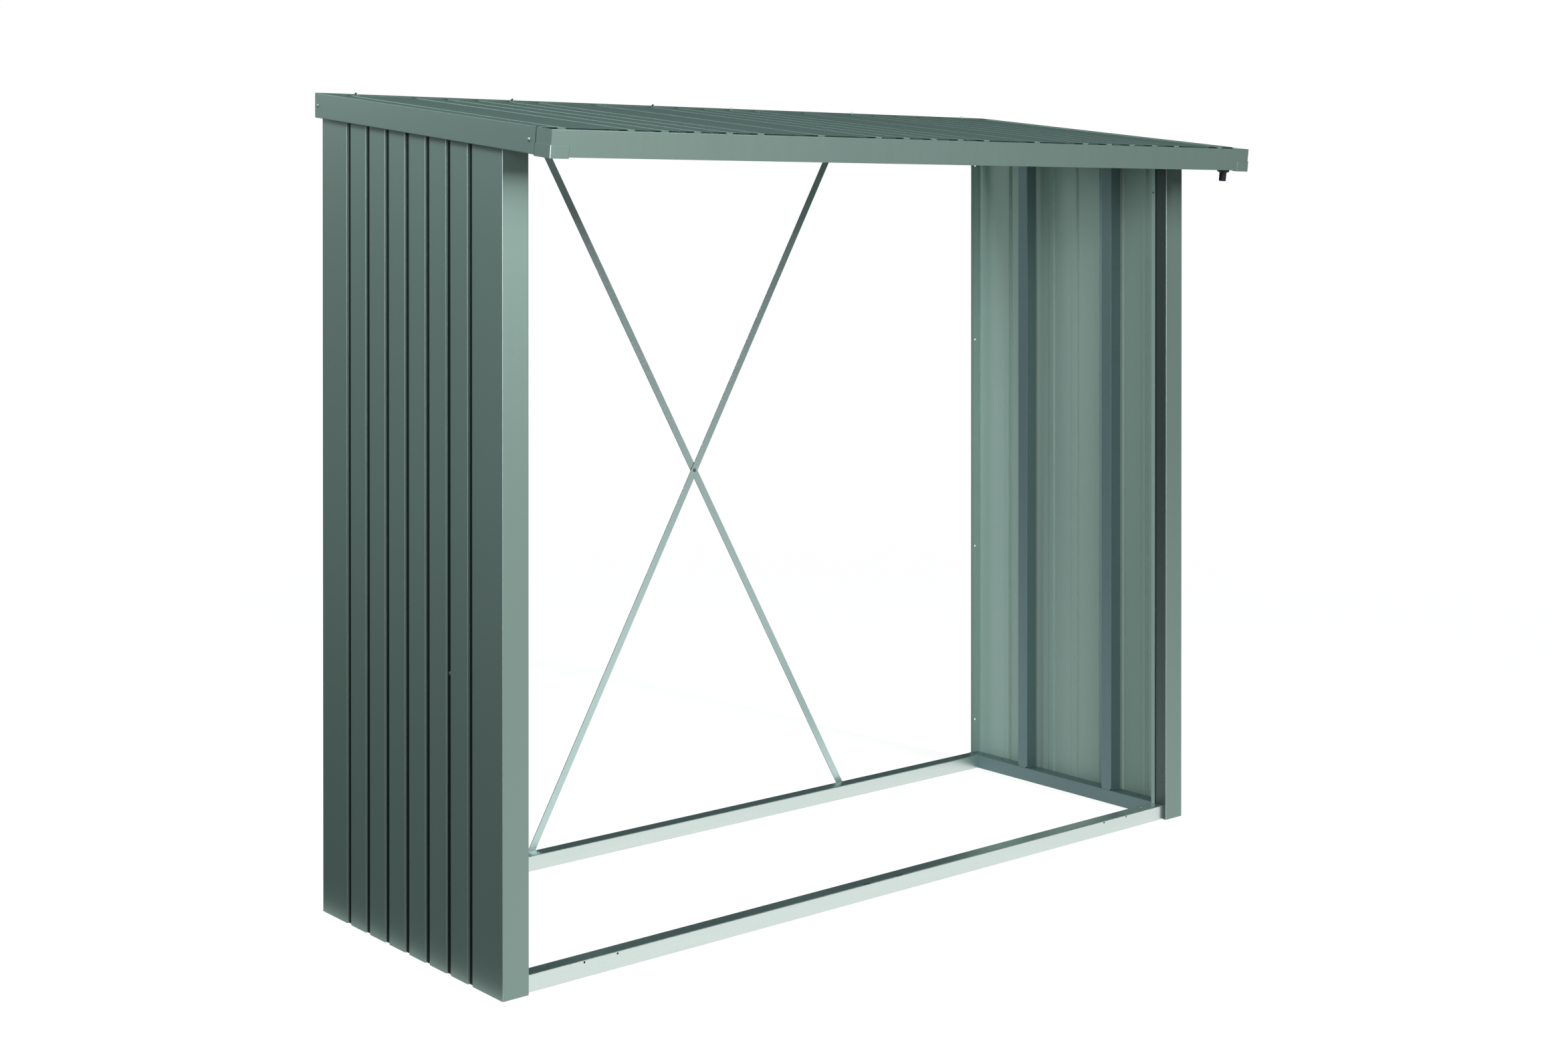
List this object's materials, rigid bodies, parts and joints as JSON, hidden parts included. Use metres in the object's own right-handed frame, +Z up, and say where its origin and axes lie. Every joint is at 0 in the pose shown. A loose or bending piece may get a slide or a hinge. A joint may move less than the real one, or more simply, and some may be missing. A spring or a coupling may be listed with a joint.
{
  "type": "log store",
  "caption": "Open-fronted metal log store with grooved sheet side walls, a channel base frame, a lean-to roof with a front gutter and a cross-braced open back.",
  "frame": {"origin": "on the floor, at the middle of the overall width and depth", "axes": "+X to the right seen from the open front, +Y from the front to the back, +Z up"},
  "size_m": [2.295, 1.0199, 1.989],
  "materials": {
    "paint": "satin grey-green coating on steel sheet",
    "galvanised": "plain zinc-coated steel",
    "black_plastic": "moulded black plastic"
  },
  "bodies": {
    "root": {"front_base_rail": "galvanised", "back_base_rail": "galvanised", "left_base_rail": "galvanised", "right_base_rail": "galvanised", "left_front_post": "paint", "left_wall_panel": "paint", "left_back_post": "paint", "left_front_stiffener": "galvanised", "left_back_stiffener": "galvanised", "left_top_rail": "galvanised", "right_front_post": "paint", "right_wall_panel": "paint", "right_back_post": "paint", "right_front_stiffener": "galvanised", "right_back_stiffener": "galvanised", "right_top_rail": "galvanised", "front_beam": "galvanised", "back_beam": "galvanised", "left_roof_panel": "paint", "middle_roof_panel": "paint", "right_roof_panel": "paint", "left_trim": "paint", "right_trim": "paint", "back_trim": "paint", "gutter_face": "paint", "gutter_floor": "paint", "gutter_back": "paint", "left_gutter_end": "paint", "right_gutter_end": "paint", "left_gutter_clip": "paint", "right_gutter_clip": "paint", "drain_spout": "black_plastic", "rising_brace_bar": "galvanised", "falling_brace_bar": "galvanised"}
  },
  "joints": []
}
